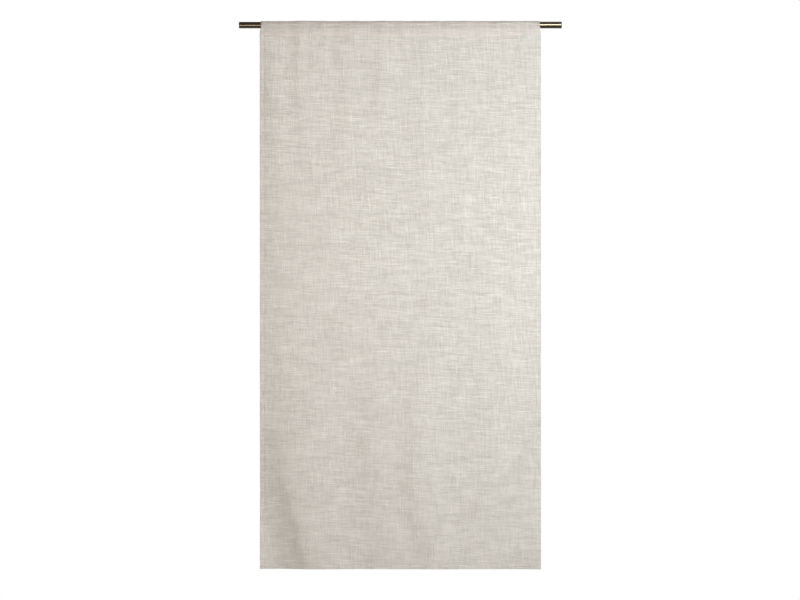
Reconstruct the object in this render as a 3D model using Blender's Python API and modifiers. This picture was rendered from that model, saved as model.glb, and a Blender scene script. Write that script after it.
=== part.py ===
"""Cafe curtain on its rod: one flat, unlined panel of slub cloth with a rod pocket, on a thin round rod.

The origin is on the rod's axis at the middle of its length. +X runs to the right as seen from the front,
+Z is up, and the front of the cloth faces -Y. Everything is in metres.
"""

import math
from collections import namedtuple

import bmesh
import bpy

MM = 0.001

# The rod, a round bar cut square at its ends.
ROD_DIAMETER = 11 * MM
ROD_LENGTH = 528 * MM
ROD_SIDES = 40
ROD_END_BEVEL = 0.4 * MM

# The cloth, as it hangs.
PANEL_WIDTH = 460 * MM
PANEL_DROP = 897 * MM  # from the top of the pocket to the bottom edge
CLOTH = 1.0 * MM  # one layer
HEM_CLOTH = 1.8 * MM  # the turned layers of a hem, pressed flat
SIDE_HEM = 7 * MM
BOTTOM_HEM = 8 * MM
HEM_STEP = 0.8 * MM  # the distance over which a hem's turned edge ends
SEAT_GAP = 0.35 * MM  # between the rod and the cloth, and between two layers
HANG_FORWARD = 2.2 * MM  # the pocket's front carries the weight, so the cloth hangs before the rod's axis

# The rod pocket: the top edge is turned to the back over the rod and stitched down.
POCKET_DEPTH = 22 * MM  # from the top of the pocket to its stitching
POCKET_TAIL = 2.6 * MM  # the turned edge below the stitching
RAW_EDGE = 3.9 * MM  # how far above the stitching the raw edge, folded in behind the tail, reaches
POCKET_DRAW = 2 * MM  # how far each end of the pocket is drawn in towards the middle
OVER_PUSH = 0.25  # how much of a fold's relief is left where the pocket lies over the rod

# How finely the cloth is divided.
PANEL_COLUMNS = 58
ARC_STEPS = 12
SLOPE_STEPS = 2

ROD_RADIUS = ROD_DIAMETER / 2
TOP_Z = ROD_RADIUS + SEAT_GAP + CLOTH
BOTTOM_Z = TOP_Z - PANEL_DROP
STITCH_Z = TOP_Z - POCKET_DEPTH
FRONT_Y = -HANG_FORWARD - CLOTH / 2  # the panel's front face

# The panel's rows, from the pocket's tail down to the bottom hem, closest where the folds change quickly.
Stretch = namedtuple("Stretch", "down rows")

PANEL_STRETCHES = [
    Stretch(210 * MM, 9),
    Stretch(620 * MM, 8),
    Stretch(PANEL_DROP - BOTTOM_HEM - HEM_STEP, 10),
]

# A fold runs down the cloth through its stations. down is the distance below the top of the pocket, x the
# place of its crest, and relief how far it stands forward (or lies back, below zero). left and right are
# the half widths of its two flanks: a gather's left flank is the steep one.
Station = namedtuple("Station", "down x relief left right")

FOLDS_MM = {
    "edge_ridge_left": [
        Station(20, -208, 0.0, 10, 14),
        Station(60, -208, 2.0, 11, 16),
        Station(122, -209, 2.2, 11, 16),
        Station(180, -206, 1.2, 11, 14),
        Station(253, -195, 0.9, 9, 14),
        Station(330, -195, 0.0, 12, 16),
    ],
    "gather_far_left": [
        Station(0, -164, 0.8, 9, 12),
        Station(42, -166, 2.6, 8, 9),
        Station(78, -168, 2.0, 10, 18),
        Station(122, -163, 1.8, 12, 30),
        Station(179, -160, 1.3, 14, 32),
        Station(253, -155, 0.6, 16, 34),
        Station(320, -152, 0.0, 16, 34),
    ],
    "gather_before_left": [
        Station(0, -127, 0.3, 18, 9),
        Station(42, -125, 1.6, 20, 8),
        Station(78, -126, 1.4, 22, 10),
        Station(122, -122, 0.6, 22, 14),
        Station(179, -122, 0.0, 22, 14),
    ],
    "gather_left": [
        Station(0, -90, 0.5, 10, 22),
        Station(42, -91, 1.0, 11, 24),
        Station(78, -90, 1.7, 12, 26),
        Station(122, -90, 1.6, 13, 26),
        Station(179, -92, 1.4, 12, 28),
        Station(250, -94, 0.6, 13, 28),
        Station(310, -96, 0.0, 14, 28),
    ],
    "gather_middle": [
        Station(0, -30, 0.6, 9, 16),
        Station(42, -30, 1.3, 9, 16),
        Station(78, -31, 1.5, 11, 18),
        Station(179, -34, 1.3, 12, 26),
        Station(253, -50, 0.8, 13, 26),
        Station(343, -44, 0.5, 10, 22),
        Station(430, -42, 0.0, 12, 24),
    ],
    "gather_right": [
        Station(0, 38, 0.4, 10, 20),
        Station(78, 38, 1.5, 13, 20),
        Station(179, 37, 1.0, 13, 20),
        Station(253, 38, 1.1, 16, 28),
        Station(343, 43, 1.2, 14, 26),
        Station(450, 44, 0.6, 16, 30),
        Station(520, 44, 0.0, 18, 30),
    ],
    "gather_far_right": [
        Station(0, 95, 0.5, 9, 22),
        Station(42, 96, 0.8, 10, 22),
        Station(78, 98, 1.6, 13, 24),
        Station(179, 95, 1.1, 14, 28),
        Station(343, 102, 1.1, 16, 34),
        Station(450, 112, 0.6, 20, 36),
        Station(556, 122, 1.0, 18, 40),
        Station(646, 125, 0.0, 20, 40),
    ],
    "left_margin": [
        Station(30, -236, 0.0, 14, 14),
        Station(122, -236, -1.6, 16, 16),
        Station(210, -236, -2.6, 16, 22),
        Station(300, -236, -4.6, 18, 26),
        Station(458, -236, -5.0, 18, 28),
        Station(556, -232, -5.2, 18, 30),
        Station(646, -226, -5.5, 18, 26),
        Station(720, -236, -9.0, 20, 36),
        Station(785, -230, -9.0, 24, 42),
        Station(847, -212, -8.0, 30, 40),
        Station(898, -203, -7.5, 30, 38),
    ],
    "left_crease": [
        Station(700, -192, 0.0, 12, 30),
        Station(752, -188, 1.2, 12, 30),
        Station(785, -178, 2.0, 14, 30),
        Station(847, -163, 2.6, 14, 34),
        Station(898, -150, 2.6, 14, 34),
    ],
    "left_shoulder": [
        Station(540, -166, 0.0, 40, 50),
        Station(680, -162, 1.6, 40, 50),
        Station(820, -156, 2.0, 36, 50),
        Station(898, -150, 1.6, 30, 50),
    ],
    "hollow_left_of_middle": [
        Station(500, -80, 0.0, 26, 30),
        Station(650, -84, -1.8, 28, 32),
        Station(720, -86, -2.4, 28, 34),
        Station(785, -84, -1.6, 28, 34),
        Station(898, -70, -1.6, 30, 34),
    ],
    "ridge_left_of_middle": [
        Station(560, -44, 0.0, 24, 22),
        Station(720, -42, 1.4, 26, 26),
        Station(785, -34, 1.2, 24, 26),
        Station(847, -22, 1.2, 22, 26),
        Station(898, -18, 1.0, 22, 26),
    ],
    "middle_ridge": [
        Station(470, 38, 0.0, 18, 30),
        Station(556, 36, 1.0, 22, 32),
        Station(646, 33, 2.8, 26, 36),
        Station(720, 24, 4.6, 22, 38),
        Station(785, 31, 4.2, 24, 38),
        Station(847, 48, 3.6, 22, 34),
        Station(898, 58, 3.4, 22, 34),
    ],
    "soft_swell_right": [
        Station(200, 150, 0.0, 36, 50),
        Station(420, 150, 1.6, 40, 60),
        Station(640, 136, 0.0, 40, 56),
    ],
    "right_corner": [
        Station(760, 234, 0.0, 18, 18),
        Station(898, 234, 3.0, 20, 20),
    ],
}

# One row of the cloth's grid at one place across the curtain: a point of its outer face, the direction in
# which a fold pushes that point, how far below the top the fold is read, and the cloth's thickness.
Row = namedtuple("Row", "y z push_y push_z down thickness")


def smooth(share):
    """A share of the way from 0 to 1, eased at both ends."""
    share = min(max(share, 0.0), 1.0)
    return share * share * (3 - 2 * share)


def fold_at(stations, down):
    """A fold's crest x, relief and two half widths, in metres, at a distance below the top of the pocket."""
    upper, lower = next(pair for pair in zip(stations, stations[1:]) if down / MM <= pair[1].down + 0.01)
    share = smooth((down / MM - upper.down) / (lower.down - upper.down))
    return [MM * (a + (b - a) * share) for a, b in zip(upper[1:], lower[1:])]


def relief(x, down):
    """How far the folds bring the cloth forward at one place."""
    total = 0.0
    for stations in FOLDS_MM.values():
        if stations[0].down <= down / MM <= stations[-1].down + 0.01:
            crest, height, left, right = fold_at(stations, down)
            total += height * math.exp(-(((x - crest) / (left if x < crest else right)) ** 2))
    return total


def column_places():
    """Where the grid's columns lie: one at each side of a side hem's step, and the rest even between."""
    edge = PANEL_WIDTH / 2
    inner = edge - SIDE_HEM - HEM_STEP
    middle = [inner * (2 * i / PANEL_COLUMNS - 1) for i in range(PANEL_COLUMNS + 1)]
    return [-edge, -edge + SIDE_HEM, *middle, edge - SIDE_HEM, edge]


def panel_heights():
    """Where the panel's rows lie, from the bottom edge up to the end of the pocket's tail."""
    downs = [POCKET_DEPTH + POCKET_TAIL]
    for stretch in PANEL_STRETCHES:
        step = (stretch.down - downs[-1]) / stretch.rows
        downs += [downs[-1] + step * i for i in range(1, stretch.rows + 1)]
    return [BOTTOM_Z, BOTTOM_Z + BOTTOM_HEM, *(TOP_Z - down for down in reversed(downs))]


def tangent_angle(y, z, radius, side):
    """Where a line from (y, z) touches a circle about the rod's axis, on the front (-1) or back (1) side."""
    return math.atan2(z, y) + side * math.acos(radius / math.hypot(y, z))


def cloth_rows(x):
    """The outer face at x, from the bottom edge up the front, over the rod and down to the tail's end."""
    in_side_hem = abs(x) > PANEL_WIDTH / 2 - SIDE_HEM - HEM_STEP / 2
    plain = HEM_CLOTH if in_side_hem else CLOTH
    rows = []
    for z in panel_heights():
        thickness = HEM_CLOTH if z < BOTTOM_Z + BOTTOM_HEM + HEM_STEP / 2 else plain
        rows.append(Row(FRONT_Y, z, -1, 0, TOP_Z - z, thickness))
    rows.append(Row(FRONT_Y, STITCH_Z, -1, 0, POCKET_DEPTH, plain))

    radius = ROD_RADIUS + SEAT_GAP + plain
    back_y = FRONT_Y + plain + SEAT_GAP + HEM_CLOTH
    front = tangent_angle(FRONT_Y, STITCH_Z, radius, -1)
    back = tangent_angle(back_y, STITCH_Z, radius, 1)
    front_y, front_z = radius * math.cos(front), radius * math.sin(front)
    leave_y, leave_z = radius * math.cos(back), radius * math.sin(back)

    for i in range(1, SLOPE_STEPS + 1):
        share = i / (SLOPE_STEPS + 1)
        y = FRONT_Y + (front_y - FRONT_Y) * share
        z = STITCH_Z + (front_z - STITCH_Z) * share
        rows.append(Row(y, z, -1, 0, POCKET_DEPTH, plain))
    turn = front + 2 * math.pi - back
    for i in range(ARC_STEPS + 1):
        angle = front - turn * i / ARC_STEPS
        push = max(1 - 2 * (1 - OVER_PUSH) * i / ARC_STEPS, OVER_PUSH)
        y, z = math.cos(angle), math.sin(angle)
        rows.append(Row(radius * y, radius * z, push * y, push * z, POCKET_DEPTH, plain))
    for height in (RAW_EDGE + HEM_STEP, RAW_EDGE, 0):
        share = height / (leave_z - STITCH_Z)
        y = back_y + (leave_y - back_y) * share
        thickness = plain if height > RAW_EDGE else HEM_CLOTH
        rows.append(Row(y, STITCH_Z + height, -1 + share, 0, POCKET_DEPTH, thickness))
    tail_end = STITCH_Z - POCKET_TAIL
    rows.append(Row(back_y, tail_end, -1, 0, TOP_Z - tail_end, HEM_CLOTH))
    return rows


def make_material(name, colour, roughness, metallic):
    material = bpy.data.materials.new(name)
    material.use_nodes = True
    shader = material.node_tree.nodes["Principled BSDF"]
    shader.inputs["Base Color"].default_value = (*colour, 1)
    shader.inputs["Roughness"].default_value = roughness
    shader.inputs["Metallic"].default_value = metallic
    material.diffuse_color = (*colour, 1)
    return material


def make_object(name, shape, material, collection):
    mesh = bpy.data.meshes.new(name)
    shape.to_mesh(mesh)
    shape.free()
    mesh.materials.append(material)
    mesh.shade_smooth()
    made = bpy.data.objects.new(name, mesh)
    collection.objects.link(made)
    return made


def make_rod(collection):
    """A round bar along X, with its end edges just eased."""
    shape = bmesh.new()
    bmesh.ops.create_cone(
        shape,
        cap_ends=True,
        segments=ROD_SIDES,
        radius1=ROD_RADIUS,
        radius2=ROD_RADIUS,
        depth=ROD_LENGTH,
    )
    material = make_material("dark_bronze", (0.045, 0.028, 0.016), 0.22, 1.0)
    rod = make_object("rod", shape, material, collection)
    rod.rotation_euler = (0, math.pi / 2, 0)
    rod.data.set_sharp_from_angle(angle=math.radians(40))
    bevel = rod.modifiers.new("eased_ends", "BEVEL")
    bevel.width = ROD_END_BEVEL
    bevel.segments = 2
    bevel.limit_method = "ANGLE"
    bevel.angle_limit = math.radians(60)


def make_panel(collection):
    """The cloth's outer face as one grid, bent over the rod, and then given its thickness inwards."""
    columns = column_places()
    sections = [cloth_rows(x) for x in columns]
    last_column, last_row = len(columns) - 1, len(sections[0]) - 1

    shape = bmesh.new()
    bmesh.ops.create_grid(shape, x_segments=last_column, y_segments=last_row, size=0.5)
    shares = []
    for vertex in shape.verts:
        column = round((vertex.co.x + 0.5) * last_column)
        row = sections[column][round((vertex.co.y + 0.5) * last_row)]
        x = columns[column]
        push = relief(x, row.down)
        drawn = POCKET_DRAW * smooth((row.z - STITCH_Z - POCKET_TAIL) / POCKET_DEPTH * 2)
        across = x * (1 - 2 * drawn / PANEL_WIDTH)
        vertex.co = (across, row.y + row.push_y * push, row.z + row.push_z * push)
        shares.append(row.thickness / HEM_CLOTH)

    material = make_material("slub_cloth", (0.72, 0.68, 0.61), 0.85, 0.0)
    panel = make_object("curtain_panel", shape, material, collection)
    layers = panel.vertex_groups.new(name="layers")
    for index, share in enumerate(shares):
        layers.add([index], share, "REPLACE")
    wall = panel.modifiers.new("cloth_thickness", "SOLIDIFY")
    wall.thickness = HEM_CLOTH
    wall.vertex_group = layers.name
    wall.offset = -1
    wall.use_even_offset = True


def main():
    for leftover in list(bpy.data.objects):
        bpy.data.objects.remove(leftover)
    collection = bpy.data.collections.new("cafe_curtain")
    bpy.context.scene.collection.children.link(collection)
    make_rod(collection)
    make_panel(collection)


main()
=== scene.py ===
"""A café curtain that hangs by its rod pocket from a thin dark rod. Units are metres."""

import math
from collections import namedtuple

import bmesh
import bpy
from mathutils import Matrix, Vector, noise


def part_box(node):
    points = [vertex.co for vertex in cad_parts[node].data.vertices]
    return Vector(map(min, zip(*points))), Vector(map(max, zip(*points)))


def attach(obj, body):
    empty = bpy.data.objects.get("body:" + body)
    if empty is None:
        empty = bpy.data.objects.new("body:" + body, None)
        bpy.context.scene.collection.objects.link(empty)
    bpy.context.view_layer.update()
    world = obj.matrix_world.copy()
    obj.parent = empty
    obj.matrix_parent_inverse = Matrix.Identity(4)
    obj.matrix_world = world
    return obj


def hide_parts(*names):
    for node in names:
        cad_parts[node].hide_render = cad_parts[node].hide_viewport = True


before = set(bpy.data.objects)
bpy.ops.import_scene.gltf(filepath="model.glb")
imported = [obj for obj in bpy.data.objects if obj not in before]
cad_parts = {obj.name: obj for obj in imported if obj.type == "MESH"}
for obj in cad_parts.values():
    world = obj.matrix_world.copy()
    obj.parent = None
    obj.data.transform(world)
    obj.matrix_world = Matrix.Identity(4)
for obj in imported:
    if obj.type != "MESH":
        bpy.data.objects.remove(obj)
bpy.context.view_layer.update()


# --- The rod -------------------------------------------------------------------------------------------
# A slim round steel bar, turned square at both ends with the corners eased, and finished in a dark bronze
# lacquer. The lacquer is thinner at the corners, and fine drawing lines run along it.

MM = 0.001
ROD_SIDES = 96
ROD_CORNER = 0.8 * MM  # the eased corner at each end
ROD_CORNER_STEPS = 5
BRONZE = (0.18, 0.138, 0.09, 1)
BRONZE_DEEP = (0.095, 0.068, 0.04, 1)
BRONZE_WORN = (0.36, 0.29, 0.21, 1)

rod_low, rod_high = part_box("rod")
rod_radius = (rod_high.z - rod_low.z) / 2


class Socket:
    """An output of a node. Arithmetic on it adds Math nodes to its tree."""

    def __init__(self, tree, socket):
        self.tree, self.socket = tree, socket

    def out(self, name):
        """Another output of the same node."""
        return Socket(self.tree, self.socket.node.outputs[name])

    def math(self, operation, *values):
        return self.tree.add("ShaderNodeMath", {"operation": operation}, dict(enumerate(values)))

    def __add__(self, other):
        return self.math("ADD", self, other)

    def __sub__(self, other):
        return self.math("SUBTRACT", self, other)

    def __mul__(self, other):
        return self.math("MULTIPLY", self, other)

    def __truediv__(self, other):
        return self.math("DIVIDE", self, other)

    def __pow__(self, other):
        return self.math("POWER", self, other)

    def __rsub__(self, other):
        return self.math("SUBTRACT", other, self)

    def __rtruediv__(self, other):
        return self.math("DIVIDE", other, self)

    def __abs__(self):
        return self.math("ABSOLUTE", self)

    __radd__, __rmul__ = __add__, __mul__


class Tree:
    """The node tree of a material, a world or a Geometry Nodes group, built one node at a time."""

    def __init__(self, nodes_owner):
        self.tree = nodes_owner
        self.tree.nodes.clear()

    def add(self, kind, settings=None, sockets=None):
        """Adds a node: first its settings, then its sockets' values or links. Gives its first output."""
        node = self.tree.nodes.new(kind)
        for name, value in (settings or {}).items():
            setattr(node, name, value)
        for key, value in (sockets or {}).items():
            if isinstance(value, Socket):
                self.tree.links.new(value.socket, node.inputs[key])
            else:
                node.inputs[key].default_value = value
        return Socket(self, node.outputs[0]) if node.outputs else None

    def mix(self, share, first, second):
        """The first colour at share 0 and the second at 1."""
        sockets = {"Factor": share, "A": first, "B": second}
        return self.add("ShaderNodeMix", {"data_type": "RGBA"}, sockets).out("Result")

    def band(self, value, near, far):
        """1 where the value is below near, falling smoothly to 0 at far."""
        sockets = {0: value, 1: near, 2: far, 3: 1.0, 4: 0.0}
        return self.add("ShaderNodeMapRange", {"interpolation_type": "SMOOTHSTEP"}, sockets)

    def noise(self, place):
        """Soft noise about 0, from -0.5 to 0.5, at a place that is already in the noise's own size."""
        sockets = {"Vector": place, "Scale": 1.0, "Detail": 1.5, "Roughness": 0.55}
        return self.add("ShaderNodeTexNoise", {}, sockets) - 0.5


def new_material(name):
    made = bpy.data.materials.new(name)
    made.use_nodes = True
    return made, Tree(made.node_tree)


def turned_bar(name):
    """The rod's outline, spun about the X axis."""
    outline = [(rod_low.x, 0)]
    for i in range(ROD_CORNER_STEPS + 1):
        angle = math.pi / 2 * i / ROD_CORNER_STEPS
        inset = ROD_CORNER * (1 - math.sin(angle)), ROD_CORNER * (1 - math.cos(angle))
        outline.append((rod_low.x + inset[1], rod_radius - inset[0]))
    # A second ring behind the corner keeps the shading straight between the ends.
    outline.append((rod_low.x + 1.5 * ROD_CORNER, rod_radius))
    middle = (rod_low.x + rod_high.x) / 2
    outline += [(2 * middle - x, r) for x, r in reversed(outline)]
    shape = bmesh.new()
    verts = [shape.verts.new((x, 0, r)) for x, r in outline]
    edges = [shape.edges.new(pair) for pair in zip(verts, verts[1:])]
    bmesh.ops.spin(
        shape, geom=verts + edges, axis=(1, 0, 0), cent=(0, 0, 0), steps=ROD_SIDES, angle=2 * math.pi
    )
    bmesh.ops.remove_doubles(shape, verts=shape.verts, dist=0.001 * MM)
    bmesh.ops.recalc_face_normals(shape, faces=shape.faces)
    mesh = bpy.data.meshes.new(name)
    shape.to_mesh(mesh)
    shape.free()
    mesh.shade_smooth()
    made = bpy.data.objects.new(name, mesh)
    bpy.context.scene.collection.objects.link(made)
    return made


def bronze_lacquer():
    material, tree = new_material("rod_metal")
    place = tree.add("ShaderNodeTexCoord").out("Object")
    parted = tree.add("ShaderNodeSeparateXYZ", {}, {0: place})
    x, y, z = parted.out("X"), parted.out("Y"), parted.out("Z")

    def noise_in(length, width):
        """Noise of this size along the rod and across it."""
        sockets = {0: x / length, 1: y / width, 2: z / width}
        return tree.noise(tree.add("ShaderNodeCombineXYZ", {}, sockets))

    drawn = noise_in(30 * MM, 0.7 * MM)
    cloudy = noise_in(20 * MM, 6 * MM)
    to_end = (rod_high.x - rod_low.x) / 2 - abs(x - (rod_low.x + rod_high.x) / 2)
    out = (y * y + z * z).math("SQRT", y * y + z * z)
    corner = tree.band(to_end, 0.2 * MM, 1.1 * MM) * tree.band(rod_radius - out, 0.1 * MM, 0.9 * MM)
    worn = tree.band(0.55 - corner - cloudy, 0.0, 0.2)
    tone = tree.mix(0.5 + 0.6 * cloudy + 0.3 * drawn, BRONZE_DEEP, BRONZE)
    bump = tree.add("ShaderNodeBump", {}, {"Strength": 0.25, "Distance": 0.03 * MM, "Height": drawn})
    shader = tree.add(
        "ShaderNodeBsdfPrincipled",
        {},
        {
            "Base Color": tree.mix(worn * 0.7, tone, BRONZE_WORN),
            "Metallic": 1.0,
            "Roughness": 0.16 + 0.05 * cloudy + 0.12 * worn,
            "Specular IOR Level": 0.5,
            "Coat Weight": 0.5,
            "Coat Roughness": 0.06,
            "Normal": bump,
        },
    )
    tree.add("ShaderNodeOutputMaterial", {}, {"Surface": shader})
    return material


rod = turned_bar("curtain_rod")
rod.data.materials.append(bronze_lacquer())
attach(rod, "root")
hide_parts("rod")


# --- The cloth -----------------------------------------------------------------------------------------
# One length of thin, loosely woven slub cloth. Both sides and the bottom are turned twice and sewn flat,
# and the top is turned to the back over the rod and sewn down as a pocket, which gathers it a little.

CLOTH = 0.5 * MM  # one layer
HEM_CLOTH = 1.3 * MM  # three layers, pressed
LAYER_GAP = 0.5 * MM  # between the pocket's two sides at their stitching
PANEL_WIDTH = 460 * MM
SIDE_HEM = 7 * MM
BOTTOM_HEM = 8 * MM
STITCH_INSET = 1.4 * MM  # from a hem's inner fold to its stitching
POCKET_DEPTH = 22 * MM  # from the top of the pocket to its stitching
POCKET_TAIL = 2.6 * MM  # the turned edge below the stitching
RAW_EDGE = 3.9 * MM  # the raw edge folded in behind it, above the stitching
POCKET_SLACK = 0.4 * MM  # between the rod and the pocket
POCKET_DRAW = 2.0 * MM  # how far each end of the pocket is drawn in towards the middle
DRAW_START_Z = -13 * MM  # where that begins, seen from the rod's axis
DRAW_FULL_Z = -3 * MM
HANG_FORWARD = 2.2 * MM  # the pocket's front carries the weight, so the cloth hangs before the rod's middle
CALM_START_Z = -30 * MM  # towards the rod the cloth is held, and its unevenness grows less
CALM_FULL_Z = -10 * MM
COLUMN_STEP = 2.5 * MM
ROW_STEP = 5.8 * MM
FINE_STEP = 1.3 * MM
THREAD_DENT = 0.22 * MM  # how far the sewing pulls the cloth in
THREAD_REACH = 0.9 * MM  # and how far to each side of it
EDGE_ROUNDING = 1 * MM  # the width of a folded edge's round
EDGE_DIP = 0.3 * MM  # how far the outer face turns in there
EDGE_THINNING = 0.5 * MM  # and how much thinner the layers get
MAP_FILL = 0.985  # the share of the baking map that the faces fill; the cut edge has the rest
CLOTH_LIGHT = (1.0, 0.956, 0.878, 1)
CLOTH_DARK = (0.585, 0.543, 0.48, 1)
POCKET_PAINTED_WARMTH = (1.0, 0.93, 0.865, 1)  # painted warmth, standing for the light that passes between layers lying together
POCKET_EDGE_MM = (3, 5)  # how far below the pocket's stitching that begins to end, and ends
CLOTH_GLOW = (0.84, 0.80, 0.74, 1)
THROUGH = 0.3  # the share of the light that the yarn itself lets through
FOLD_BLUR = 0.3 * MM  # how softly folded layers end in the cloth's tone

pocket_radius = rod_radius + POCKET_SLACK + CLOTH
front_y = -HANG_FORWARD - CLOTH / 2
bottom_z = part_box("curtain_panel")[0].z
stitch_z = pocket_radius - POCKET_DEPTH

# A fold runs down the cloth through its stations. down is the distance below the top of the pocket, x the
# place of its crest, and relief how far it stands forward (or lies back, below zero). left and right are
# the half widths of its two flanks: a gather's left flank is the steep one.
Station = namedtuple("Station", "down x relief left right")

FOLDS_MM = {
    "edge_ridge_left": [
        Station(20, -208, 0.0, 10, 14),
        Station(60, -208, 2.0, 11, 16),
        Station(122, -209, 2.2, 11, 16),
        Station(180, -206, 1.2, 11, 14),
        Station(253, -195, 0.9, 9, 14),
        Station(330, -195, 0.0, 12, 16),
    ],
    "gather_far_left": [
        Station(0, -164, 0.8, 9, 12),
        Station(42, -166, 2.6, 8, 9),
        Station(78, -168, 2.0, 10, 18),
        Station(122, -163, 1.8, 12, 30),
        Station(179, -160, 1.3, 14, 32),
        Station(253, -155, 0.6, 16, 34),
        Station(320, -152, 0.0, 16, 34),
    ],
    "gather_before_left": [
        Station(0, -127, 0.3, 18, 9),
        Station(42, -125, 1.6, 20, 8),
        Station(78, -126, 1.4, 22, 10),
        Station(122, -122, 0.6, 22, 14),
        Station(179, -122, 0.0, 22, 14),
    ],
    "gather_left": [
        Station(0, -90, 0.5, 10, 22),
        Station(42, -91, 1.0, 11, 24),
        Station(78, -90, 1.7, 12, 26),
        Station(122, -90, 1.6, 13, 26),
        Station(179, -92, 1.4, 12, 28),
        Station(250, -94, 0.6, 13, 28),
        Station(310, -96, 0.0, 14, 28),
    ],
    "gather_middle": [
        Station(0, -30, 0.6, 9, 16),
        Station(42, -30, 1.3, 9, 16),
        Station(78, -31, 1.5, 11, 18),
        Station(179, -34, 1.3, 12, 26),
        Station(253, -50, 0.8, 13, 26),
        Station(343, -44, 0.5, 10, 22),
        Station(430, -42, 0.0, 12, 24),
    ],
    "gather_right": [
        Station(0, 38, 0.4, 10, 20),
        Station(78, 38, 1.5, 13, 20),
        Station(179, 37, 1.0, 13, 20),
        Station(253, 38, 1.1, 16, 28),
        Station(343, 43, 1.2, 14, 26),
        Station(450, 44, 0.6, 16, 30),
        Station(520, 44, 0.0, 18, 30),
    ],
    "gather_far_right": [
        Station(0, 95, 0.5, 9, 22),
        Station(42, 96, 0.8, 10, 22),
        Station(78, 98, 1.6, 13, 24),
        Station(179, 95, 1.1, 14, 28),
        Station(343, 102, 1.1, 16, 34),
        Station(450, 112, 0.6, 20, 36),
        Station(556, 122, 1.0, 18, 40),
        Station(646, 125, 0.0, 20, 40),
    ],
    "left_margin": [
        Station(30, -236, 0.0, 14, 14),
        Station(122, -236, -1.6, 16, 16),
        Station(210, -236, -2.6, 16, 22),
        Station(300, -236, -4.6, 18, 26),
        Station(458, -236, -5.0, 18, 28),
        Station(556, -232, -5.2, 18, 30),
        Station(646, -226, -5.5, 18, 26),
        Station(720, -236, -9.0, 20, 36),
        Station(785, -230, -9.0, 24, 42),
        Station(847, -212, -8.0, 30, 40),
        Station(898, -203, -7.5, 30, 38),
    ],
    "left_crease": [
        Station(700, -192, 0.0, 12, 30),
        Station(752, -188, 1.2, 12, 30),
        Station(785, -178, 2.0, 14, 30),
        Station(847, -163, 2.6, 14, 34),
        Station(898, -150, 2.6, 14, 34),
    ],
    "left_shoulder": [
        Station(540, -166, 0.0, 40, 50),
        Station(680, -162, 1.6, 40, 50),
        Station(820, -156, 2.0, 36, 50),
        Station(898, -150, 1.6, 30, 50),
    ],
    "hollow_left_of_middle": [
        Station(500, -80, 0.0, 26, 30),
        Station(650, -84, -1.8, 28, 32),
        Station(720, -86, -2.4, 28, 34),
        Station(785, -84, -1.6, 28, 34),
        Station(898, -70, -1.6, 30, 34),
    ],
    "ridge_left_of_middle": [
        Station(560, -44, 0.0, 24, 22),
        Station(720, -42, 1.4, 26, 26),
        Station(785, -34, 1.2, 24, 26),
        Station(847, -22, 1.2, 22, 26),
        Station(898, -18, 1.0, 22, 26),
    ],
    "middle_ridge": [
        Station(470, 38, 0.0, 18, 30),
        Station(556, 36, 1.0, 22, 32),
        Station(646, 33, 2.8, 26, 36),
        Station(720, 24, 4.6, 22, 38),
        Station(785, 31, 4.2, 24, 38),
        Station(847, 48, 3.6, 22, 34),
        Station(898, 58, 3.4, 22, 34),
    ],
    "soft_swell_right": [
        Station(200, 150, 0.0, 36, 50),
        Station(420, 150, 1.6, 40, 60),
        Station(640, 136, 0.0, 40, 56),
    ],
    "right_corner": [
        Station(760, 234, 0.0, 18, 18),
        Station(898, 234, 3.0, 20, 20),
    ],
}

# The pocket's stitching gathers the cloth in small puckers. reach is how far below the top each one runs.
Pucker = namedtuple("Pucker", "x relief half_width reach")

PUCKERS_MM = [
    Pucker(-196, 0.45, 5.0, 48),
    Pucker(-145, 0.45, 4.0, 45),
    Pucker(-75, 0.45, 4.5, 52),
    Pucker(-56, 0.38, 4.0, 46),
    Pucker(4, 0.75, 7.0, 58),
    Pucker(24, 0.45, 4.0, 48),
    Pucker(60, 0.6, 5.0, 50),
    Pucker(76, 0.45, 3.5, 44),
    Pucker(116, 0.45, 4.0, 42),
    Pucker(136, 0.6, 5.0, 52),
    Pucker(170, 0.45, 4.5, 46),
    Pucker(204, 0.45, 4.5, 50),
]

# A stretch of the pocket, by the height above its stitching: whole up to one distance from its middle, and
# gone at the next.
Stretch = namedtuple("Stretch", "middle whole gone")

SEAM_LAYERS_MM = Stretch(0.5, 2.6, 4)  # the front, the back and the turned edge
BELOW_ROD_MM = Stretch(4.5, 4, 6.5)  # the front and the back, close together
ROUND_ROD_MM = Stretch(16, 5, 8)

# One row of the cloth's grid: a point of its outer face, the direction in which relief pushes that point,
# how far below the top the folds are read, the cloth's thickness, and the distance along the flat cloth.
Row = namedtuple("Row", "y z push_y push_z down thickness along")


def smooth(share):
    """A share of the way from 0 to 1, eased at both ends."""
    share = min(max(share, 0.0), 1.0)
    return share * share * (3 - 2 * share)


def fold_at(stations, down):
    """A fold's crest x, relief and two half widths, in metres, at a distance below the top of the pocket."""
    upper, lower = next(pair for pair in zip(stations, stations[1:]) if down / MM <= pair[1].down + 0.01)
    share = smooth((down / MM - upper.down) / (lower.down - upper.down))
    return [MM * (a + (b - a) * share) for a, b in zip(upper[1:], lower[1:])]


def reliefs_at(down):
    """The crest, relief and half widths of every fold and pucker that is there at one height."""
    found = []
    for stations in FOLDS_MM.values():
        if stations[0].down <= down / MM <= stations[-1].down + 0.01:
            found.append(fold_at(stations, down))
    for pucker in PUCKERS_MM:
        fade = smooth((pucker.reach - down / MM) / (pucker.reach - POCKET_DEPTH / MM))
        width = pucker.half_width * MM
        found.append([pucker.x * MM, pucker.relief * MM * fade, width, width])
    return found


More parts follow.
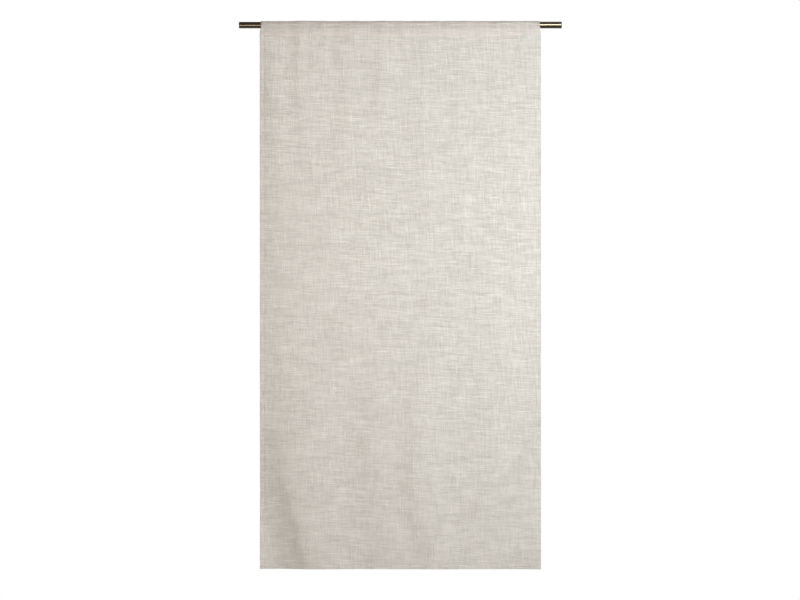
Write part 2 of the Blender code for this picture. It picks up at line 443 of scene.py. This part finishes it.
def stops(start, *stretches):
    """Places along a line from start. Each stretch is (end, step), and is cut into even steps."""
    places = [start]
    for end, step in stretches:
        first, count = places[-1], max(1, round(abs(end - places[-1]) / step))
        places += [first + (end - first) * i / count for i in range(1, count + 1)]
    return places


def hem_stops(hem):
    """Distances from a hem's edge for the grid's lines, close together at its edge, stitching and fold."""
    stitch = hem - STITCH_INSET
    edge = [0, 0.35 * MM, 1.0 * MM, 2.4 * MM]
    seam = [stitch + shift * MM for shift in (-1.2, -0.5, 0, 0.5, 1.0)]
    return [*edge, *seam, hem - 0.1 * MM, hem + 0.5 * MM]


def outer_face_rows():
    """The rows from the bottom edge up the front, over the rod and down the back to the turned edge."""
    rows = []

    def add(y, z, push_y, push_z, down, thickness):
        step = math.hypot(y - rows[-1].y, z - rows[-1].z) if rows else 0
        rows.append(Row(y, z, push_y, push_z, down, thickness, rows[-1].along + step if rows else 0))

    hem = hem_stops(BOTTOM_HEM)
    plain = stops(hem[-1] + bottom_z, (stitch_z - 9 * MM, ROW_STEP), (stitch_z, FINE_STEP))
    for z in [bottom_z + distance for distance in hem[:-1]] + plain:
        hemmed = z < bottom_z + BOTTOM_HEM
        add(front_y, z, -1, 0, pocket_radius - z, HEM_CLOTH if hemmed else CLOTH)

    def touching(y, side):
        """Where a line from the stitching at y meets the pocket's round, in front (-1) or behind (1)."""
        distance = math.hypot(y, stitch_z)
        return math.atan2(stitch_z, y) + side * math.acos(pocket_radius / distance)

    back_y = front_y + CLOTH + LAYER_GAP + HEM_CLOTH
    front, back = touching(front_y, -1), touching(back_y, 1)
    meet_y, meet_z = pocket_radius * math.cos(front), pocket_radius * math.sin(front)
    rise = meet_z - stitch_z
    for height in stops(0, (rise, FINE_STEP))[1:-1]:
        y = front_y + (meet_y - front_y) * height / rise
        add(y, stitch_z + height, -1, 0, POCKET_DEPTH, CLOTH)

    turn = front + 2 * math.pi - back
    steps = round(turn * pocket_radius / FINE_STEP)
    for i in range(steps + 1):
        angle = front - turn * i / steps
        push = 0.25 + 0.75 * abs(1 - 2 * i / steps)
        y, z = math.cos(angle), math.sin(angle)
        add(pocket_radius * y, pocket_radius * z, push * y, push * z, POCKET_DEPTH, CLOTH)

    leave_y, leave_z = rows[-1].y, rows[-1].z
    fall = leave_z - stitch_z
    folded = [RAW_EDGE, RAW_EDGE - 0.5 * MM]
    for height in stops(fall, (folded[0], FINE_STEP))[1:] + stops(folded[1], (0, 0.85 * MM)):
        share = height / fall
        y = back_y + (leave_y - back_y) * share
        thickness = CLOTH if height > folded[1] else HEM_CLOTH
        add(y, stitch_z + height, 1.5 * share - 1, 0, POCKET_DEPTH, thickness)
    for height in stops(0, (-POCKET_TAIL, 0.65 * MM))[1:]:
        add(back_y, stitch_z + height, -1, 0, POCKET_DEPTH - height, HEM_CLOTH)
    return rows


def unevenness(x, z):
    """The soft, shallow waves of woven cloth that hangs free, longer down the cloth than across it."""
    broad = noise.noise(Vector((x / (45 * MM), z / (130 * MM), 3.1)))
    small = noise.noise(Vector((x / (16 * MM), z / (42 * MM), 8.7)))
    calm = 1 - 0.6 * smooth((z - CALM_START_Z) / (CALM_FULL_Z - CALM_START_Z))
    return calm * (0.28 * MM * broad + 0.035 * MM * small)


def stitch_dent(distance):
    """How far sewing thread pulls the cloth in, at a distance from its line of stitches."""
    return THREAD_DENT * math.exp(-((distance / THREAD_REACH) ** 2))


def hang(x, row, reliefs, length):
    """Where a point of the outer face hangs, and its share of the full hem thickness."""
    half = PANEL_WIDTH / 2
    edge = half - abs(x)
    front = row.y <= 0
    push = unevenness(x, row.z)
    for crest, height, left, right in reliefs:
        push += height * math.exp(-(((x - crest) / (left if x < crest else right)) ** 2))
    to_seams = edge - (SIDE_HEM - STITCH_INSET), row.along - (BOTTOM_HEM - STITCH_INSET), row.z - stitch_z
    rounding = max(1 - min(edge, row.along, length - row.along) / EDGE_ROUNDING, 0) ** 2
    inward = sum(stitch_dent(distance) for distance in to_seams) + EDGE_DIP * rounding
    push += -inward if front or row.push_z else inward
    thickness = HEM_CLOTH if edge < SIDE_HEM else row.thickness
    drawn = POCKET_DRAW * smooth((row.z - DRAW_START_Z) / (DRAW_FULL_Z - DRAW_START_Z))
    place = (x * (1 - drawn / half), row.y + row.push_y * push, row.z + row.push_z * push)
    return place, (thickness - EDGE_THINNING * rounding) / HEM_CLOTH


def outer_face(name):
    """The outer face as one grid. Its UV map holds each point's place on the flat cloth, in metres."""
    half = PANEL_WIDTH / 2
    hem = hem_stops(SIDE_HEM)
    middle = stops(-half + hem[-1], (half - hem[-1], COLUMN_STEP))
    columns = [-half + distance for distance in hem[:-1]] + middle + [half - d for d in hem[-2::-1]]
    rows = outer_face_rows()
    reliefs = [reliefs_at(row.down) for row in rows]
    last_column, last_row = len(columns) - 1, len(rows) - 1
    shape = bmesh.new()
    bmesh.ops.create_grid(shape, x_segments=last_column, y_segments=last_row, size=0.5)
    flat_places, shares = [], []
    for vertex in shape.verts:
        x = columns[round((vertex.co.x + 0.5) * last_column)]
        at = round((vertex.co.y + 0.5) * last_row)
        vertex.co, share = hang(x, rows[at], reliefs[at], rows[-1].along)
        flat_places.append((x, rows[at].along))
        shares.append(share)
    flat_map = shape.loops.layers.uv.new("UVMap")
    for face in shape.faces:
        for loop in face.loops:
            loop[flat_map].uv = flat_places[loop.vert.index]
    mesh = bpy.data.meshes.new(name)
    shape.to_mesh(mesh)
    shape.free()
    mesh.shade_smooth()
    made = bpy.data.objects.new(name, mesh)
    bpy.context.scene.collection.objects.link(made)
    layers = made.vertex_groups.new(name="layers")
    for index, share in enumerate(shares):
        layers.add([index], share, "REPLACE")
    return made, rows[-1].along


def made_plain(made):
    """Turns an object and its modifiers into a plain mesh."""
    mesh = bpy.data.meshes.new_from_object(made.evaluated_get(bpy.context.evaluated_depsgraph_get()))
    made.modifiers.clear()
    made.vertex_groups.clear()
    made.data = mesh


def lay_out_flat(mesh, rim_start=None):
    """A second UV map, the flat cloth fitted into a square. Faces of the cut edge get a narrow border."""
    flat = mesh.uv_layers["UVMap"].uv
    square = mesh.uv_layers.new(name="OFBake").uv
    for face in mesh.polygons:
        corners = [mesh.loops[i].vertex_index for i in face.loop_indices]
        on_rim = rim_start is not None and min(corners) < rim_start <= max(corners)
        for i, corner in zip(face.loop_indices, corners):
            x, along = flat[i].vector
            grow = 1.0 if on_rim and corner >= rim_start else MAP_FILL
            square[i].vector = (0.5 + grow * x / PANEL_WIDTH, 0.5 + grow * (along / cloth_length - 0.5))


def slub_cloth():
    """Loose plain weave of uneven yarn. The weave lets some of what is behind it show."""
    material, tree = new_material("slub_cloth")
    flat = tree.add("ShaderNodeUVMap", {"uv_map": "UVMap"})
    parted = tree.add("ShaderNodeSeparateXYZ", {}, {0: flat})
    across, along = parted.out("X") / MM, parted.out("Y") / MM

    def noise_at(first, second, seed):
        # The slant keeps neighbouring yarns from fading at the same places.
        slanted = second + 0.7 * first
        return tree.noise(tree.add("ShaderNodeCombineXYZ", {}, {0: first, 1: slanted, 2: seed}))

    # The yarns bow a little to either side. Each noise changes quickly across them and slowly along them.
    weft_at = along + 3 * noise_at(across / 30, along / 20, 4.0)
    warp_at = across + 2 * noise_at(along / 40, across / 20, 5.0)
    fine = noise_at(weft_at / 0.5, across / 8, 2.3) + noise_at(warp_at / 0.5, along / 8, 7.9)
    thick = noise_at(weft_at / 1.3, across / 22, 12.6) + 0.8 * noise_at(warp_at / 1.3, along / 24, 17.2)
    open_weave = noise_at(weft_at / 2.1, across / 26, 28.4) + 0.8 * noise_at(warp_at / 2.1, along / 30, 33.6)

    def nearer_than(limit, distance):
        return tree.band(distance, (limit - FOLD_BLUR) / MM, (limit + FOLD_BLUR) / MM)

    side = nearer_than(SIDE_HEM, PANEL_WIDTH / 2 / MM - abs(across))
    bottom = nearer_than(BOTTOM_HEM, along)
    turned = side.math("MAXIMUM", side, bottom)
    folded = nearer_than(POCKET_TAIL + RAW_EDGE, cloth_length / MM - along)

    # In the pocket two layers lie one behind the other, and round its stitching there are more.
    above_seam = along - (stitch_z - bottom_z) / MM

    def within(stretch):
        return tree.band(abs(above_seam - stretch.middle), stretch.whole, stretch.gone)

    doubled, layered, over_rod = within(BELOW_ROD_MM), within(SEAM_LAYERS_MM), within(ROUND_ROD_MM)
    in_pocket = tree.band(0 - above_seam, *POCKET_EDGE_MM)
    # Painted warmth: in the pocket the light end of the cloth's tone is warmer, standing for the light that
    # passes between its layers.
    light = tree.mix(in_pocket, CLOTH_LIGHT, POCKET_PAINTED_WARMTH)

    # The cloth is dark at tone 0 and light at 1. Where layers lie together its colour is painted lighter,
    # painted light that stands for the light the layers behind send back and lifts the shade where the
    # pocket's front tilts down, and its weave is closer. Round the rod the colour is painted lighter still,
    # painted light where the cloth turns up over the rod, away from the lamps, and the weave is drawn a
    # little more open.
    yarn_tone = 0.53 + 0.7 * fine + 2.0 * thick
    tone = yarn_tone + 0.05 * folded + 0.45 * doubled + 0.7 * layered + 0.9 * over_rod
    weave = 0.6 + 0.3 * fine + 0.35 * open_weave
    bump = tree.add("ShaderNodeBump", {}, {"Strength": 0.5, "Distance": 0.25 * MM, "Height": fine + thick})
    shader = tree.add(
        "ShaderNodeBsdfPrincipled",
        {},
        {
            "Base Color": tree.mix(tone, CLOTH_DARK, light),
            "Alpha": weave + 0.05 * turned + 0.25 * folded - 0.11 * over_rod,
            "Roughness": 0.92,
            "Specular IOR Level": 0.2,
            "Sheen Weight": 0.1,
            "Sheen Roughness": 0.5,
            "Normal": bump,
        },
    )
    glow = tree.add("ShaderNodeBsdfTranslucent", {}, {"Color": CLOTH_GLOW})
    lit_through = tree.add("ShaderNodeMixShader", {}, {0: THROUGH, 1: shader, 2: glow})
    tree.add("ShaderNodeOutputMaterial", {}, {"Surface": lit_through})
    return material


cloth, cloth_length = outer_face("curtain_cloth")
cloth.data.materials.append(slub_cloth())
cloth_guide = bpy.data.objects.new("cloth_guide", cloth.data.copy())
bpy.context.scene.collection.objects.link(cloth_guide)
outer_points = len(cloth.data.vertices)
layered = cloth.modifiers.new("layers_of_cloth", "SOLIDIFY")
layered.thickness = HEM_CLOTH
layered.vertex_group = "layers"
layered.offset = -1
layered.use_even_offset = True
made_plain(cloth)
lay_out_flat(cloth.data, outer_points)
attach(cloth, "root")
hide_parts("curtain_panel")


# --- The slubs -----------------------------------------------------------------------------------------
# The yarn is spun unevenly: every so often it swells into a soft, thick stretch. Those slubs lie in the
# weave, across the cloth and down it, and stand a little out of both its faces.

SLUB_SIDES = 4
SLUB_SECTIONS = 7
SLUB_PROUD = 0.12 * MM  # how far a slub stands out of each face
SLUBS_TRIED = 2.6  # for each square of the spacing; most of them are dropped as too close to another
SLUB_LIGHT = (0.85, 0.825, 0.78, 1)
SLUB_DARK = (0.66, 0.635, 0.59, 1)


def new_geometry_tree(name, inputs):
    """A Geometry Nodes group with one output geometry and the named inputs, given as name: kind."""
    group = bpy.data.node_groups.new(name, "GeometryNodeTree")
    tree = Tree(group)
    group.interface.new_socket("Geometry", in_out="OUTPUT", socket_type="NodeSocketGeometry")
    for input_name, kind in inputs.items():
        group.interface.new_socket(input_name, in_out="INPUT", socket_type="NodeSocket" + kind)
    return tree, tree.add("NodeGroupInput")


def end_geometry_tree(tree, geometry, material):
    realized = tree.add("GeometryNodeRealizeInstances", {}, {"Geometry": geometry})
    rounded = tree.add("GeometryNodeSetShadeSmooth", {}, {"Geometry": realized})
    finished = tree.add("GeometryNodeSetMaterial", {}, {"Geometry": rounded, "Material": material})
    tree.add("NodeGroupOutput", {}, {0: finished})


def laid_on_cloth(tree, geometry, guide):
    """Takes pieces made on the flat cloth to the hanging one. Their z is the height above its face."""
    place = tree.add("GeometryNodeInputPosition")
    parted = tree.add("ShaderNodeSeparateXYZ", {}, {0: place})
    flat = tree.add("ShaderNodeCombineXYZ", {}, {0: parted.out("X"), 1: parted.out("Y")})
    mapped = tree.add(
        "GeometryNodeStoreNamedAttribute",
        {"data_type": "FLOAT2", "domain": "CORNER"},
        {"Geometry": geometry, "Name": "UVMap", "Value": flat},
    )
    vector = {"data_type": "FLOAT_VECTOR"}
    cloth_mesh = tree.add("GeometryNodeObjectInfo", {"transform_space": "ORIGINAL"}, {"Object": guide})
    cloth_map = tree.add("GeometryNodeInputNamedAttribute", vector, {"Name": "UVMap"})

    def on_guide(kind):
        sockets = {
            "Mesh": cloth_mesh.out("Geometry"),
            "Value": tree.add(kind),
            "UV Map": cloth_map,
            "Sample UV": flat,
        }
        return tree.add("GeometryNodeSampleUVSurface", vector, sockets)

    position, normal = on_guide("GeometryNodeInputPosition"), on_guide("GeometryNodeInputNormal")
    rise = {0: normal, "Scale": parted.out("Z")}
    lifted = tree.add("ShaderNodeVectorMath", {"operation": "SCALE"}, rise)
    on_cloth = tree.add("ShaderNodeVectorMath", {"operation": "ADD"}, {0: position, 1: lifted})
    return tree.add("GeometryNodeSetPosition", {}, {"Geometry": mapped, "Position": on_cloth})


def slub_tree():
    """Spindles scattered over the flat cloth, close across the yarns and sparse along them."""
    tree, given = new_geometry_tree(
        "slubs",
        {
            "Guide": "Object",
            "Across": "Float",
            "Along": "Float",
            "Spacing": "Float",
            "Stretch": "Float",
            "Shortest": "Float",
            "Longest": "Float",
            "Thinnest": "Float",
            "Thickest": "Float",
            "Flatness": "Float",
            "Depth": "Float",
            "Wander": "Float",
            "Quarter Turns": "Float",
            "Seed": "Int",
            "Material": "Material",
        },
    )
    stretch, seed = given.out("Stretch"), given.out("Seed")

    def between(low, high, offset):
        sockets = {2: given.out(low), 3: given.out(high), "Seed": seed + offset}
        return tree.add("FunctionNodeRandomValue", {"data_type": "FLOAT"}, sockets).out("Value")

    # The yarns run along X here. The scatter is made on a plane squeezed along them, then stretched back.
    plane = tree.add(
        "GeometryNodeMeshGrid",
        {},
        {
            "Size X": given.out("Along") / stretch,
            "Size Y": given.out("Across"),
            "Vertices X": 2,
            "Vertices Y": 2,
        },
    )
    # The slubs come in crowded patches and sparser ones.
    parted = tree.add("ShaderNodeSeparateXYZ", {}, {0: tree.add("GeometryNodeInputPosition")})
    patch = {0: parted.out("X") * stretch / (50 * MM), 1: parted.out("Y") / (35 * MM), 2: seed}
    crowded = tree.noise(tree.add("ShaderNodeCombineXYZ", {}, patch)) * 0.2 + 0.8
    spacing = given.out("Spacing")
    points = tree.add(
        "GeometryNodeDistributePointsOnFaces",
        {"distribute_method": "POISSON"},
        {
            "Mesh": plane,
            "Distance Min": spacing,
            "Density Max": SLUBS_TRIED / (spacing * spacing),
            "Density Factor": crowded,
            "Seed": seed,
        },
    )
    toned = {2: 0.0, 3: 1.0, "Seed": seed + 3}
    tone = tree.add("FunctionNodeRandomValue", {"data_type": "FLOAT"}, toned).out("Value")
    stored = {"Geometry": points, "Name": "tone", "Value": tone}
    points = tree.add("GeometryNodeStoreNamedAttribute", {"data_type": "FLOAT"}, stored)
    length = between("Shortest", "Longest", 1)
    thickness = between("Thinnest", "Thickest", 2)
    parted = tree.add("ShaderNodeSeparateXYZ", {}, {0: tree.add("GeometryNodeInputPosition")})
    limit = (given.out("Along") - length) / 2 - 0.4 * MM
    kept_in = {"Value": parted.out("X") * stretch, "Min": 0 - limit, "Max": limit}
    centre = tree.add(
        "ShaderNodeCombineXYZ", {}, {0: tree.add("ShaderNodeClamp", {}, kept_in), 1: parted.out("Y")}
    )
    points = tree.add("GeometryNodeSetPosition", {}, {"Geometry": points, "Position": centre})

    axis = tree.add("GeometryNodeCurvePrimitiveLine", {}, {"Start": (-0.5, 0, 0), "End": (0.5, 0, 0)})
    axis = tree.add("GeometryNodeResampleCurve", {}, {"Curve": axis, "Count": SLUB_SECTIONS})
    share = tree.add("GeometryNodeSplineParameter") * 0.96 + 0.02
    swell = (share.math("SINE", share * math.pi)) ** 0.8
    section = tree.add("GeometryNodeCurvePrimitiveCircle", {}, {"Resolution": SLUB_SIDES, "Radius": 0.5})
    sockets = {"Curve": axis, "Profile Curve": section, "Scale": swell, "Fill Caps": True}
    spindle = tree.add("GeometryNodeCurveToMesh", {}, sockets)
    size = tree.add("ShaderNodeCombineXYZ", {}, {0: length, 1: thickness, 2: given.out("Flatness")})
    placed = tree.add(
        "GeometryNodeInstanceOnPoints", {}, {"Points": points, "Instance": spindle, "Scale": size}
    )
    spindles = tree.add("GeometryNodeRealizeInstances", {}, {"Geometry": placed})

    # A slub wanders a little to either side as it runs.
    parted = tree.add("ShaderNodeSeparateXYZ", {}, {0: tree.add("GeometryNodeInputPosition")})
    x, y = parted.out("X"), parted.out("Y")
    sway = tree.noise(tree.add("ShaderNodeCombineXYZ", {}, {0: x / (30 * MM), 1: y / (20 * MM), 2: 4.0}))
    aside = tree.add("ShaderNodeCombineXYZ", {}, {1: sway * given.out("Wander")})
    swayed = tree.add("GeometryNodeSetPosition", {}, {"Geometry": spindles, "Offset": aside})
    turn = tree.add("ShaderNodeCombineXYZ", {}, {2: given.out("Quarter Turns") * (math.pi / 2)})
    turned = tree.add("GeometryNodeTransform", {}, {"Geometry": swayed, "Rotation": turn})
    shift = tree.add("ShaderNodeCombineXYZ", {}, {1: cloth_length / 2, 2: 0 - given.out("Depth")})
    seated = tree.add("GeometryNodeTransform", {}, {"Geometry": turned, "Translation": shift})
    end_geometry_tree(tree, laid_on_cloth(tree, seated, given.out("Guide")), given.out("Material"))
    return tree.tree


def grown(name, group, values):
    """An object whose whole mesh comes from a Geometry Nodes group, with its inputs set by identifier."""
    made = bpy.data.objects.new(name, bpy.data.meshes.new(name))
    bpy.context.scene.collection.objects.link(made)
    nodes = made.modifiers.new("nodes", "NODES")
    nodes.node_group = group
    for item in group.interface.items_tree:
        if item.in_out == "INPUT":
            nodes[item.identifier] = values[item.name]
    made_plain(made)
    return made


def slub_yarn():
    """Soft thick yarn, a little lighter than the weave, with fibres along it."""
    material, tree = new_material("slub_yarn")
    flat = tree.add("ShaderNodeUVMap", {"uv_map": "UVMap"})
    parted = tree.add("ShaderNodeSeparateXYZ", {}, {0: flat})
    across, along = parted.out("X") / MM, parted.out("Y") / MM
    fibre = tree.noise(tree.add("ShaderNodeCombineXYZ", {}, {0: across / 0.9, 1: along / 0.9, 2: 35.0}))
    each = tree.add("ShaderNodeAttribute", {"attribute_name": "tone"}).out("Fac")
    colour = tree.mix(each + 0.5 * fibre, SLUB_DARK, SLUB_LIGHT)
    shader = tree.add(
        "ShaderNodeBsdfPrincipled",
        {},
        {
            "Base Color": colour,
            "Roughness": 0.95,
            "Specular IOR Level": 0.2,
            "Sheen Weight": 0.15,
            "Sheen Roughness": 0.5,
        },
    )
    tree.add("ShaderNodeOutputMaterial", {}, {"Surface": shader})
    return material


slub_group = slub_tree()
yarn = slub_yarn()
slub_sizes = {
    "Guide": cloth_guide,
    "Flatness": CLOTH + 2 * SLUB_PROUD,
    "Depth": CLOTH / 2,
    "Wander": 3.0 * MM,
    "Material": yarn,
}
weft_slubs = grown(
    "weft_slubs",
    slub_group,
    {
        **slub_sizes,
        "Across": cloth_length - 1.5 * MM,
        "Along": PANEL_WIDTH,
        "Spacing": 2.95 * MM,
        "Stretch": 8.0,
        "Shortest": 12 * MM,
        "Longest": 54 * MM,
        "Thinnest": 0.7 * MM,
        "Thickest": 1.6 * MM,
        "Quarter Turns": 0.0,
        "Seed": 4,
    },
)
warp_slubs = grown(
    "warp_slubs",
    slub_group,
    {
        **slub_sizes,
        "Across": PANEL_WIDTH - 1.5 * MM,
        "Along": cloth_length,
        "Spacing": 3.1 * MM,
        "Stretch": 8.0,
        "Shortest": 10 * MM,
        "Longest": 44 * MM,
        "Thinnest": 0.6 * MM,
        "Thickest": 1.4 * MM,
        "Quarter Turns": 1.0,
        "Seed": 9,
    },
)
for slubs in (weft_slubs, warp_slubs):
    lay_out_flat(slubs.data)
    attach(slubs, "root")


# --- The stitching -------------------------------------------------------------------------------------
# Machine stitches in matching cotton thread hold the two side hems, the bottom hem and the pocket. Each
# stitch dips into the cloth at both its ends.

STITCH_PITCH = 3.0 * MM
STITCH_SHARE = 0.84  # the share of the pitch that shows as thread
STITCH_LIFT = 0.06 * MM  # its middle above the cloth's face
SEAM_END = 1 * MM  # from a seam's end to the cloth's edge
THREAD = 0.36 * MM
THREAD_LIGHT = (0.86, 0.83, 0.77, 1)
THREAD_DARK = (0.70, 0.67, 0.61, 1)


def stitch_tree():
    """Stitches in a straight row on the flat cloth, from Start to End, then laid on its outer face."""
    tree, given = new_geometry_tree(
        "stitches",
        {
            "Guide": "Object",
            "Start": "Vector",
            "End": "Vector",
            "Pitch": "Float",
            "Thread": "Float",
            "Height": "Float",
            "Material": "Material",
        },
    )
    ends = {"Start": given.out("Start"), "End": given.out("End")}
    line = tree.add("GeometryNodeCurvePrimitiveLine", {}, ends)
    points = tree.add(
        "GeometryNodeCurveToPoints", {"mode": "LENGTH"}, {"Curve": line, "Length": given.out("Pitch")}
    )
    ends = {"Start": (0, 0, -STITCH_SHARE / 2), "End": (0, 0, STITCH_SHARE / 2)}
    axis = tree.add("GeometryNodeCurvePrimitiveLine", {}, ends)
    axis = tree.add("GeometryNodeResampleCurve", {}, {"Curve": axis, "Count": 6})
    section = tree.add("GeometryNodeCurvePrimitiveCircle", {}, {"Resolution": 6, "Radius": 0.5})
    sockets = {"Curve": axis, "Profile Curve": section, "Fill Caps": True}
    stitch = tree.add("GeometryNodeCurveToMesh", {}, sockets)
    thin = given.out("Thread")
    size = tree.add("ShaderNodeCombineXYZ", {}, {0: thin, 1: thin, 2: given.out("Pitch")})
    placed = tree.add(
        "GeometryNodeInstanceOnPoints",
        {},
        {
            "Points": points.out("Points"),
            "Instance": stitch,
            "Rotation": points.out("Rotation"),
            "Scale": size,
        },
    )
    threads = tree.add("GeometryNodeRealizeInstances", {}, {"Geometry": placed})
    height = tree.add("ShaderNodeCombineXYZ", {}, {2: given.out("Height")})
    raised = tree.add("GeometryNodeTransform", {}, {"Geometry": threads, "Translation": height})
    end_geometry_tree(tree, laid_on_cloth(tree, raised, given.out("Guide")), given.out("Material"))
    return tree.tree


def sewing_thread():
    material, tree = new_material("sewing_thread")
    place = tree.add("ShaderNodeTexCoord").out("Object")
    parted = tree.add("ShaderNodeSeparateXYZ", {}, {0: place})
    spots = [parted.out(axis) / (1.3 * MM) for axis in "XYZ"]
    twist = tree.noise(tree.add("ShaderNodeCombineXYZ", {}, dict(enumerate(spots))))
    shader = tree.add(
        "ShaderNodeBsdfPrincipled",
        {},
        {
            "Base Color": tree.mix(0.5 + twist, THREAD_DARK, THREAD_LIGHT),
            "Roughness": 0.8,
            "Specular IOR Level": 0.3,
            "Sheen Weight": 0.1,
        },
    )
    tree.add("ShaderNodeOutputMaterial", {}, {"Surface": shader})
    return material


stitch_group = stitch_tree()
thread = sewing_thread()
side_x = PANEL_WIDTH / 2 - SIDE_HEM + STITCH_INSET
hem_y = BOTTOM_HEM - STITCH_INSET
pocket_y = stitch_z - bottom_z
pocket_back_y = cloth_length - POCKET_TAIL
end_x = PANEL_WIDTH / 2 - SEAM_END
end_y = cloth_length - SEAM_END
seams = {
    "left_hem_stitches": ((-side_x, hem_y, 0), (-side_x, end_y, 0)),
    "right_hem_stitches": ((side_x, hem_y, 0), (side_x, end_y, 0)),
    "bottom_hem_stitches": ((-side_x, hem_y, 0), (side_x, hem_y, 0)),
    "pocket_stitches": ((-end_x, pocket_y, 0), (end_x, pocket_y, 0)),
    "pocket_back_stitches": ((-end_x, pocket_back_y, 0), (end_x, pocket_back_y, 0)),
}
for seam_name, (start, end) in seams.items():
    values = {
        "Guide": cloth_guide,
        "Start": start,
        "End": end,
        "Pitch": STITCH_PITCH,
        "Thread": THREAD,
        "Height": STITCH_LIFT,
        "Material": thread,
    }
    sewn = grown(seam_name, stitch_group, values)
    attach(sewn, "root")

guide_mesh = cloth_guide.data
bpy.data.objects.remove(cloth_guide)
bpy.data.meshes.remove(guide_mesh)
cloth_length + 2 * BOTTOM_HEM + POCKET_TAIL + RAW_EDGE


# --- The studio ----------------------------------------------------------------------------------------
# A pale floor well below the curtain, and a white surround that sheds little light on the cloth. A cool lamp
# low at the right and a small window shape the folds, two broad warm lamps in front fill them, and others
# stand above, behind and, for the rod's gleam alone, to the left.

FLOOR_DROP = 2.0
FLOOR_RADIUS = 2.0
FLOOR_SIDES = 96
SURROUND_LIGHT = 0.15  # how much of its white the surround sheds on the cloth
CAMERA_PLACE = (-0.6 * MM, -4.5, -450 * MM)
LENS = 123.75
SENSOR_WIDTH = 36

floor_mesh = bmesh.new()
bmesh.ops.create_circle(floor_mesh, cap_ends=True, segments=FLOOR_SIDES, radius=FLOOR_RADIUS)
bmesh.ops.translate(floor_mesh, verts=floor_mesh.verts, vec=(0, 0, -FLOOR_DROP))
floor = bpy.data.objects.new("floor", bpy.data.meshes.new("floor"))
floor_mesh.to_mesh(floor.data)
floor_mesh.free()
bpy.context.scene.collection.objects.link(floor)
floor_paint, tree = new_material("floor_paint")
shader = tree.add("ShaderNodeBsdfPrincipled", {}, {"Base Color": (0.8, 0.8, 0.79, 1), "Roughness": 0.9})
tree.add("ShaderNodeOutputMaterial", {}, {"Surface": shader})
floor.data.materials.append(floor_paint)

world = bpy.data.worlds.new("studio")
world.use_nodes = True
bpy.context.scene.world = world
tree = Tree(world.node_tree)
seen = tree.add("ShaderNodeLightPath").out("Is Camera Ray")
strength = SURROUND_LIGHT + (1 - SURROUND_LIGHT) * seen
background = tree.add("ShaderNodeBackground", {}, {"Color": (1, 1, 1, 1), "Strength": strength})
tree.add("ShaderNodeOutputWorld", {}, {"Surface": background})


def softbox(name, place, aim, size, energy, colour=(1, 1, 1), spread=180, gleams=True, lights=True):
    """A soft lamp, out of the camera's sight. gleams: it shows in polish. lights: it lights the rest."""
    lamp = bpy.data.lights.new(name, "AREA")
    lamp.shape = "RECTANGLE"
    lamp.size, lamp.size_y = size
    lamp.energy = energy
    lamp.color = colour
    lamp.spread = math.radians(spread)
    made = bpy.data.objects.new(name, lamp)
    made.location = place
    made.rotation_mode = "QUATERNION"
    made.rotation_quaternion = (Vector(aim) - Vector(place)).to_track_quat("-Z", "Y")
    made.visible_camera = False
    made.visible_glossy = gleams
    made.visible_diffuse = made.visible_transmission = lights
    bpy.context.scene.collection.objects.link(made)


softbox("key", (1.1, -0.85, -0.33), (0, 0, -0.33), (0.5, 0.5), 12.2, colour=(0.8, 0.945, 1.08))
softbox("window", (0.25, -2.1, 0.08), (0.05, 0, -0.4), (0.55, 0.5), 4.6, colour=(0.98, 1.0, 0.98), spread=70)
softbox("front", (0, -3.5, -0.3), (0, 0, -0.4), (1.6, 1.6), 7.9, colour=(1.0, 0.57, 0.4), gleams=False)
softbox("low", (0, -3.2, -1.3), (0, 0, -0.3), (1.4, 0.8), 6.8, colour=(1.0, 0.6, 0.3), gleams=False)
softbox("above", (0.6, -0.45, 1.3), (0.4, 0, 0), (1.6, 1.2), 3.4)
softbox("gleam", (-0.35, -2.1, -0.75), (-0.2, 0, 0), (0.6, 0.4), 5.0, lights=False)
softbox("back", (-0.6, 2.6, 1.5), (0, 0, -0.3), (1.8, 1.8), 28)

camera = bpy.data.objects.new("camera", bpy.data.cameras.new("camera"))
camera.data.lens = LENS
camera.data.sensor_width = SENSOR_WIDTH
camera.location = CAMERA_PLACE
camera.rotation_euler = (math.pi / 2, 0, 0)
camera.data.clip_end = 100
bpy.context.scene.collection.objects.link(camera)
bpy.context.scene.camera = camera
bpy.context.scene.view_settings.view_transform = "Standard"
